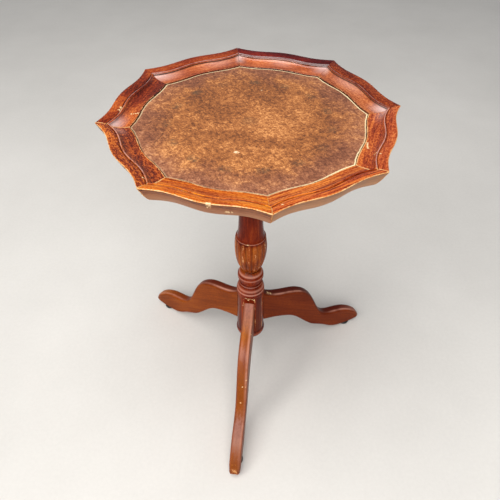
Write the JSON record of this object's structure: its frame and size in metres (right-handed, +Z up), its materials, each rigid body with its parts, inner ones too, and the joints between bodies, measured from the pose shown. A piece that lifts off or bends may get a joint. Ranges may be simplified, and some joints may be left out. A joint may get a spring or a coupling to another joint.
{
  "type": "tilt-top table",
  "caption": "Small tilt-top side table: a leather-lined octagonal tray with a waved moulded rim, hinged on a block at the head of a reeded vase pillar with cabriole legs.",
  "frame": {"origin": "on the floor, under the middle of the whole table's footprint box", "axes": "+Z up, -Y along the front leg, +X to the right of somebody facing the front leg"},
  "size_m": [0.4144, 0.4194, 0.52],
  "materials": {
    "rim_mahogany": "polished mahogany, glossy and mottled, worn pale along its edges",
    "pillar_mahogany": "dark red-brown polished mahogany, reeds worn lighter",
    "leg_mahogany": "red-brown polished mahogany, scuffed at the toes",
    "plain_wood": "stained and unpolished hardwood, satin",
    "beech": "bare beech, matt",
    "tan_leather": "tan hide, cloudy and faded, with a worn ring of blind tooling",
    "brass": "aged brass, satin",
    "steel": "dull bright steel",
    "black_glide": "black domed nail-on glide, satin"
  },
  "bodies": {
    "stand": {"pillar": "pillar_mahogany", "leg_front": "leg_mahogany", "glide_front": "black_glide", "leg_dowel_front_lower": "beech", "leg_dowel_front_upper": "beech", "leg_rear_right": "leg_mahogany", "glide_rear_right": "black_glide", "leg_dowel_rear_right_lower": "beech", "leg_dowel_rear_right_upper": "beech", "leg_rear_left": "leg_mahogany", "glide_rear_left": "black_glide", "leg_dowel_rear_left_lower": "beech", "leg_dowel_rear_left_upper": "beech", "tilt_block": "plain_wood", "tenon_wedge": "beech", "strike_plate": "brass", "strike_screw_left": "brass", "strike_screw_right": "brass", "pivot_pin_left": "steel", "pivot_pin_right": "steel"},
    "top": {"rim_moulding_1": "rim_mahogany", "rim_moulding_2": "rim_mahogany", "rim_moulding_3": "rim_mahogany", "rim_moulding_4": "rim_mahogany", "rim_moulding_5": "rim_mahogany", "rim_moulding_6": "rim_mahogany", "rim_moulding_7": "rim_mahogany", "rim_moulding_8": "rim_mahogany", "top_board": "plain_wood", "leather_panel": "tan_leather", "bearer_left": "plain_wood", "bearer_screw_left_1": "steel", "bearer_screw_left_2": "steel", "bearer_screw_left_3": "steel", "bearer_right": "plain_wood", "bearer_screw_right_1": "steel", "bearer_screw_right_2": "steel", "bearer_screw_right_3": "steel", "catch_plate": "brass", "catch_case": "brass", "catch_spring": "steel", "catch_screw_1": "brass", "catch_screw_2": "brass", "catch_screw_3": "brass", "catch_screw_4": "brass"},
    "bolt": {"catch_bolt": "brass", "catch_knob": "brass"}
  },
  "joints": [
    {"name": "top_tilt", "type": "hinge", "parent": "stand", "child": "top", "pos_m": [0.00689, 0.06526, 0.4907], "axis": [-0.985, 0.1723, 0], "range_deg": [0, 90]},
    {"name": "bolt_slide", "type": "slide", "parent": "top", "child": "bolt", "axis": [0.1723, 0.985, 0], "range_m": [0, 0.006], "stiffness_N_per_m": 120, "springref_m": 0.012}
  ]
}
